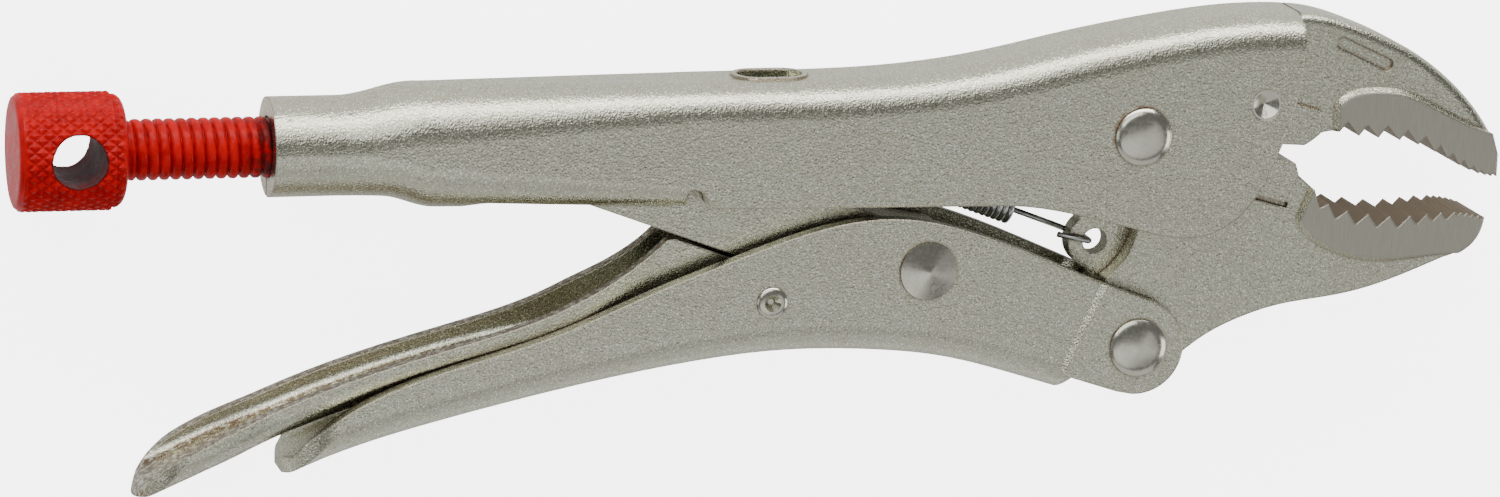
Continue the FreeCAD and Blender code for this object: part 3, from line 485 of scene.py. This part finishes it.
def red_lacquer(name, tone, worn_x=None, bored=None):
    """Glossy red lacquer, with black worn spots near worn_x and, at bored, (centre, radius), a bore darkened
    as painted shade.
    """
    recipe = Recipe(name, tone, 0.0, 0.34)
    recipe.shader.inputs["Coat Weight"].default_value = LACQUER_COAT
    recipe.shader.inputs["Coat Roughness"].default_value = 0.10
    recipe.shader.inputs["Specular IOR Level"].default_value = LACQUER_SHEEN
    cloud = recipe.noise(2.5 * MM, 3.0)
    deep = tuple(c * 0.80 for c in tone)
    bright = tuple(min(1, c * 1.18) for c in tone)
    colour = recipe.mix(recipe.ramp(cloud, 0.3, 0.7), deep, bright)
    # painted shade: crevices are darkened to deep red
    hidden = recipe.ramp(recipe.crevice(1.2 * MM), 0.30, 0.95, 0.85, 0.0)
    colour = recipe.mix(hidden, colour, (0.16, 0.004, 0.006))
    roughness = recipe.ramp(cloud, 0.3, 0.7, 0.26, 0.38)
    if worn_x is not None:
        x, _, _ = recipe.parts()
        near_tube = recipe.ramp(x, worn_x - 7 * MM, worn_x + 2 * MM)
        spots = recipe.ramp(recipe.noise(1.6 * MM, 2.0), 0.60, 0.42)
        worn = recipe.math("MULTIPLY", near_tube, spots)
        colour = recipe.mix(recipe.math("MULTIPLY", worn, 0.92), colour, (0.012, 0.010, 0.010))
    if bored is not None:
        centre, radius = bored
        inside = recipe.near(centre, radius + 0.02 * MM, radius + 0.35 * MM)
        # painted shade: the bore's wall is darkened in streaks
        streaks = recipe.ramp(recipe.noise(1.4 * MM, 3.0), 0.35, 0.70)
        bore_shade = recipe.mix(streaks, (0.030, 0.012, 0.012), (0.14, 0.012, 0.012))
        colour = recipe.mix(recipe.math("MULTIPLY", inside, 0.93), colour, bore_shade)
        shader = recipe.shader.inputs
        recipe.feed(shader["Coat Weight"], recipe.ramp(inside, 0.0, 1.0, LACQUER_COAT, 0.0))
        recipe.feed(shader["Specular IOR Level"], recipe.ramp(inside, 0.0, 1.0, LACQUER_SHEEN, 0.04))
    return recipe.finish(colour, roughness, recipe.bump(recipe.noise(0.8 * MM, 2.0), 0.03 * MM))


def spring_wire(name):
    """Drawn spring wire: satin grey steel with faint marks."""
    recipe = Recipe(name, (0.62, 0.64, 0.64), 1.0, 0.34)
    marks = recipe.noise(0.9 * MM)
    colour = recipe.mix(marks, (0.46, 0.48, 0.485), (0.78, 0.80, 0.79))
    return recipe.finish(colour, recipe.ramp(marks, 0.3, 0.7, 0.28, 0.40), recipe.bump(marks, 0.004 * MM))


def coat(node, material):
    """Gives a CAD piece one finish in every slot."""
    piece = frame["nodes"][node]
    if not piece.material_slots:
        raise RuntimeError(f"{node} has no material slot")
    for slot in piece.material_slots:
        slot.material = material


# ---------------------------------------------------------------- operators

class PLIERS_OT_plate_handles(bpy.types.Operator):
    """Plate the pressed handles, the link and the release lever"""
    bl_idname = "pliers.plate_handles"
    bl_label = "Plate the handles"

    def execute(self, context):
        settings = context.scene.pliers_plating
        rivet = JOINTS["jaw_pivot"]["pos_m"]
        coat("fixed_handle", blasted_nickel("plated_fixed_handle", settings, rust_at=rivet))
        coat("lever_handle", blasted_nickel("plated_lever_handle", settings))
        coat("toggle_link", blasted_nickel("plated_toggle_link", settings))
        coat("release_lever", blasted_nickel("plated_release_lever", settings, shaded_sides=0.85))
        return {"FINISHED"}


class PLIERS_OT_finish_jaws(bpy.types.Operator):
    """Blast and plate the forged jaws and grind their tooth blocks"""
    bl_idname = "pliers.finish_jaws"
    bl_label = "Finish the jaws"

    def execute(self, context):
        settings = context.scene.pliers_plating
        coat("fixed_jaw", blasted_nickel("forged_fixed_jaw", settings,
                                         ground=ground_block(94.0 * MM, 19.8 * MM, 8.5 * MM)))
        coat("moving_jaw", blasted_nickel("forged_moving_jaw", settings,
                                          ground=ground_block(87.4 * MM, 8.6 * MM, 0.6 * MM)))
        return {"FINISHED"}


class PLIERS_OT_polish_rivets(bpy.types.Operator):
    """Polish the rivets and pins"""
    bl_idname = "pliers.polish_rivets"
    bl_label = "Polish the rivets"

    def execute(self, context):
        for node in ("jaw_pivot_rivet", "lever_pivot_rivet", "toggle_rivet", "fixed_jaw_pin", "release_pin"):
            coat(node, bright_steel("bright_" + node, RIVET_STEEL))
        return {"FINISHED"}


class PLIERS_OT_make_knob(bpy.types.Operator):
    """Turn and knurl the red knob and drill its cross hole"""
    bl_idname = "pliers.make_knob"
    bl_label = "Make the knob"

    def execute(self, context):
        settings = context.scene.pliers_screw
        low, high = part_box("screw_knob")
        radius = (high[1] - low[1]) / 2
        length = high[0] - low[0]
        columns = settings.knurls * 10
        angles = np.linspace(0, 2 * np.pi, columns, endpoint=False)
        # profile from the flat end to the front: share of the length, radius, and 1 on the barrel
        chamfer = np.array([
            [0.000, radius - 1.60 * MM, 0], [0.002, radius - 1.05 * MM, 0],
            [0.012, radius - 0.62 * MM, 0], [0.032, radius - 0.40 * MM, 0]])
        belt = np.linspace(0.045, 0.87, 140)
        barrel = np.stack([belt, np.full_like(belt, radius), np.ones_like(belt)], axis=-1)
        bend = np.linspace(0.0, 1.0, 26) * np.pi / 2
        neck = 5.3 * MM
        shoulder = np.stack([0.872 + 0.128 * np.sin(bend) ** 0.9,
                             neck + (radius - 0.35 * MM - neck) * np.cos(bend) ** 0.55,
                             np.zeros_like(bend)], axis=-1)
        front = np.array([[1.0, 3.6 * MM, 0]])
        share, radii, on_barrel = np.concatenate([chamfer, barrel, shoulder, front]).T
        x = low[0] + share * length

        # knurl: the lower of two triangle waves that run round the knob at opposite slants
        around = settings.knurls * angles[None, :] / (2 * np.pi)
        along = ((x - low[0]) / (2 * np.pi * radius / settings.knurls))[:, None]
        diamonds = np.minimum(wave(around + along * 0.8), wave(around - along * 0.8))
        raised = np.clip(diamonds * 1.5, 0, 1)
        shown = smooth_step((share - 0.04) / 0.05) * smooth_step((0.975 - share) / 0.06)
        cut = settings.knurl_depth * (1.0 - raised) * shown[:, None]
        plain_step = 0.12 * MM * ((1 - shown) * on_barrel)[:, None]
        rings = turned(x, radii[:, None] - cut - plain_step, angles)
        knob = place("knurled_knob", skin("knurled_knob", rings))
        centre_x = low[0] + 9.3 * MM
        bored = drilled(knob, centre_x, settings.hole_radius)
        bored.materials.clear()
        bored.materials.append(red_lacquer("lacquered_knob", tuple(settings.red),
                                           bored=((centre_x, SCREW_Y), settings.hole_radius)))
        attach(knob, "knob_body")
        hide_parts("screw_knob")
        return {"FINISHED"}


class PLIERS_OT_cut_thread(bpy.types.Operator):
    """Cut the right-hand thread of the adjusting screw"""
    bl_idname = "pliers.cut_thread"
    bl_label = "Cut the thread"

    def execute(self, context):
        settings = context.scene.pliers_screw
        low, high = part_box("adjusting_screw")
        knob_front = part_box("screw_knob")[1][0]
        crest = (high[1] - low[1]) / 2
        start, end = low[0], high[0]
        rings_per_turn = 14
        x = np.linspace(start, end, int((end - start) / settings.pitch * rings_per_turn))
        angles = np.linspace(0, 2 * np.pi, 72, endpoint=False)
        # a right-hand ridge with round crests: its phase is x / pitch less angle / (2 pi)
        phase = x[:, None] / settings.pitch - angles[None, :] / (2 * np.pi)
        ridge = np.sqrt(1.0 - (1.0 - np.clip(wave(phase) * 1.16, 0.0, 1.0)) ** 2)
        radii = crest - settings.thread_depth * (1 - ridge)
        plain_neck = crest - 0.25 * MM
        run_out = smooth_step((x - knob_front - 0.5 * MM) / (0.9 * MM))
        radii = plain_neck + (radii - plain_neck) * run_out[:, None]
        chamfered_tip = crest - settings.thread_depth - 0.6 * MM
        tip = smooth_step((end - 1.2 * MM - x) / (1.2 * MM))
        radii = chamfered_tip + (radii - chamfered_tip) * tip[:, None]
        spigot = 2.9 * MM
        radii = np.where((x < knob_front)[:, None], spigot, radii)
        screw = place("adjusting_thread", skin("adjusting_thread", turned(x, radii, angles)))
        tube_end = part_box("fixed_handle")[0][0]
        screw.data.materials.append(red_lacquer("lacquered_thread", tuple(settings.red), tube_end))
        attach(screw, "screw_body")
        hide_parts("adjusting_screw")
        return {"FINISHED"}


class PLIERS_OT_wind_spring(bpy.types.Operator):
    """Wind the return spring and hook it through the jaw's ear"""
    bl_idname = "pliers.wind_spring"
    bl_label = "Wind the spring"

    def execute(self, context):
        settings = context.scene.pliers_spring
        pivot_x, pivot_y, _ = JOINTS["jaw_pivot"]["pos_m"]
        shift = np.array([pivot_x - 62.7 * MM, pivot_y - 19.0 * MM, MID_Z])

        def at(x, y, z=0.0):
            return np.array([x * MM, y * MM, z * MM]) + shift

        rear, front = at(12.0, 17.2), at(44.6, 5.2)
        axis = (front - rear) / np.linalg.norm(front - rear)
        across = np.array([-axis[1], axis[0], 0.0])
        upright = np.array([0.0, 0.0, 1.0])
        wire_r = settings.wire_radius

        # coil: a helix whose radius closes to nothing over the last three quarters of a turn at each end
        steps = settings.turns * 26
        t = np.linspace(0, 1, steps)
        turn = 2 * np.pi * settings.turns * t + 1.1
        ends = 0.75 / settings.turns
        radius = settings.coil_radius * smooth_step(t / ends) * smooth_step((1 - t) / ends)
        inset = 0.6 * MM
        middle = rear + axis * inset + np.outer(t, front - rear - 2 * inset * axis)
        spoke = np.outer(np.cos(turn), across) + np.outer(np.sin(turn), upright)
        coil = middle + radius[:, None] * spoke
        ear_half, clearance = 1.62, 0.15
        slip = ear_half + wire_r / MM + clearance
        hole = (56.9, 0.2)
        front_corners = [front - axis * 1.2 * MM, at(52.1, 2.1, -slip), at(*hole, -slip), at(*hole, slip),
                         at(51.3, 1.5, slip)]
        rear_corners = [rear + axis * 1.2 * MM, at(3.4, 23.8), at(2.2, 25.2), at(1.2, 24.6)]
        front_leg = rounded_path(front_corners, 0.85 * MM)
        rear_leg = rounded_path(rear_corners, 0.5 * MM)
        pieces = [wire(coil, wire_r, np.broadcast_to(axis, coil.shape)),
                  wire(front_leg, wire_r, across), wire(rear_leg, wire_r, upright)]
        meshes = [skin(f"spring_part_{number}", rings) for number, rings in enumerate(pieces)]
        points, faces = [], []
        for mesh in meshes:
            base = len(points)
            points += [tuple(vertex.co) for vertex in mesh.vertices]
            faces += [[base + index for index in polygon.vertices] for polygon in mesh.polygons]
        joined = bpy.data.meshes.new("coil_spring")
        joined.from_pydata(points, [], faces)
        spring = place("coil_spring", joined)
        joined.materials.append(spring_wire("spring_steel"))
        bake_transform(spring)
        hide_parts("return_spring")
        return {"FINISHED"}


class PLIERS_OT_set_stage(bpy.types.Operator):
    """Lay the floor, hang the lights and set the camera"""
    bl_idname = "pliers.set_stage"
    bl_label = "Set the stage"

    def execute(self, context):
        settings = context.scene.pliers_studio
        scene = context.scene
        floor_mesh = bpy.data.meshes.new("floor")
        half = 3.0
        corners = [(-half, -half, 0), (half, -half, 0), (half, half, 0), (-half, half, 0)]
        floor_mesh.from_pydata(corners, [], [(0, 1, 2, 3)])
        floor = bpy.data.objects.new("floor", floor_mesh)
        scene.collection.objects.link(floor)
        paper = Recipe("floor_paper", tuple(settings.floor), 0.0, 0.9)
        seen = paper.nodes.new("ShaderNodeLightPath").outputs["Is Camera Ray"]
        paper.shader.inputs["Emission Color"].default_value = (1.0, 1.0, 1.0, 1.0)
        paper.feed(paper.shader.inputs["Emission Strength"], paper.ramp(seen, 0.0, 1.0, 0.16, settings.glow))
        floor_mesh.materials.append(paper.material)

        aim = Vector((-3.5 * MM, -0.6 * MM, MID_Z))
        level = math.cos(settings.elevation)
        back = Vector((-math.sin(settings.azimuth) * level, math.sin(settings.elevation),
                       math.cos(settings.azimuth) * level))
        right = Vector((0, 1, 0)).cross(back).normalized()
        up = back.cross(right)
        turned_right = right * math.cos(settings.roll) + up * math.sin(settings.roll)
        turned_up = up * math.cos(settings.roll) - right * math.sin(settings.roll)
        lens = bpy.data.cameras.new("camera")
        lens.lens = settings.lens
        lens.sensor_width = 36.0
        lens.clip_start = 0.01
        lens.clip_end = 20.0
        camera = bpy.data.objects.new("camera", lens)
        turn = Matrix((turned_right, turned_up, back)).transposed().to_4x4()
        turn.translation = aim + back * settings.distance
        camera.matrix_world = turn
        scene.collection.objects.link(camera)
        scene.camera = camera

        world = bpy.data.worlds.new("soft_room")
        world.use_nodes = True
        sky = world.node_tree.nodes["Background"]
        sky.inputs["Color"].default_value = (1.0, 1.0, 1.0, 1.0)
        sky.inputs["Strength"].default_value = 0.15
        scene.world = world
        # softboxes: name, centre, width, height and brightness
        panels = (
            ("softbox_above", (0.15, -0.46, 1.10), 1.6, 0.66, 0.56),
            ("softbox_above_left", (-0.14, -0.42, 1.00), 0.8, 0.60, 0.22),
            ("softbox_behind", (0.0, 1.05, 0.46), 1.9, 0.46, 5.6),
            ("softbox_behind_high", (-0.25, 0.64, 0.92), 1.15, 0.44, 2.0),
            ("softbox_front", (0.0, -1.0, 0.42), 2.2, 0.80, 0.52),
            ("softbox_left", (-1.1, -0.1, 0.50), 0.5, 0.8, 0.8),
            ("softbox_right", (1.15, -0.30, 0.38), 0.5, 0.6, 2.4),
        )
        for name, spot, wide, tall, brightness in panels:
            light = bpy.data.lights.new(name, "AREA")
            light.shape = "RECTANGLE"
            light.size, light.size_y = wide, tall
            light.energy = brightness * math.pi * wide * tall
            lamp = bpy.data.objects.new(name, light)
            direction = Vector(spot) - Vector((0, 0, MID_Z))
            facing = direction.to_track_quat("Z", "Y").to_matrix().to_4x4()
            lamp.matrix_world = Matrix.Translation(spot) @ facing
            scene.collection.objects.link(lamp)
        return {"FINISHED"}


class PLIERS_PT_panel(bpy.types.Panel):
    """Sidebar panel that lists the steps"""
    bl_idname = "PLIERS_PT_panel"
    bl_label = "Locking pliers"
    bl_space_type = "VIEW_3D"
    bl_region_type = "UI"
    bl_category = "Pliers"

    def draw(self, context):
        for group in ("pliers_plating", "pliers_screw", "pliers_spring", "pliers_studio"):
            settings = getattr(context.scene, group)
            box = self.layout.box()
            for name in settings.bl_rna.properties.keys():
                if name not in ("rna_type", "name"):
                    box.prop(settings, name)
        for operator in OPERATORS:
            self.layout.operator(operator.bl_idname)


OPERATORS = (
    PLIERS_OT_set_stage,
    PLIERS_OT_plate_handles,
    PLIERS_OT_finish_jaws,
    PLIERS_OT_polish_rivets,
    PLIERS_OT_make_knob,
    PLIERS_OT_cut_thread,
    PLIERS_OT_wind_spring,
)
SETTINGS = {
    "pliers_plating": PlatingSettings,
    "pliers_screw": ScrewSettings,
    "pliers_spring": SpringSettings,
    "pliers_studio": StudioSettings,
}
CLASSES = (*SETTINGS.values(), *OPERATORS, PLIERS_PT_panel)


def register():
    for item in CLASSES:
        bpy.utils.register_class(item)
    for name, group in SETTINGS.items():
        setattr(bpy.types.Scene, name, bpy.props.PointerProperty(type=group))


def unregister():
    for name in SETTINGS:
        delattr(bpy.types.Scene, name)
    for item in reversed(CLASSES):
        bpy.utils.unregister_class(item)


def main():
    register()
    bpy.ops.pliers.set_stage()
    bpy.ops.pliers.plate_handles()
    bpy.ops.pliers.finish_jaws()
    bpy.ops.pliers.polish_rivets()
    bpy.ops.pliers.make_knob()
    bpy.ops.pliers.cut_thread()
    bpy.ops.pliers.wind_spring()


if __name__ == "__main__":
    main()
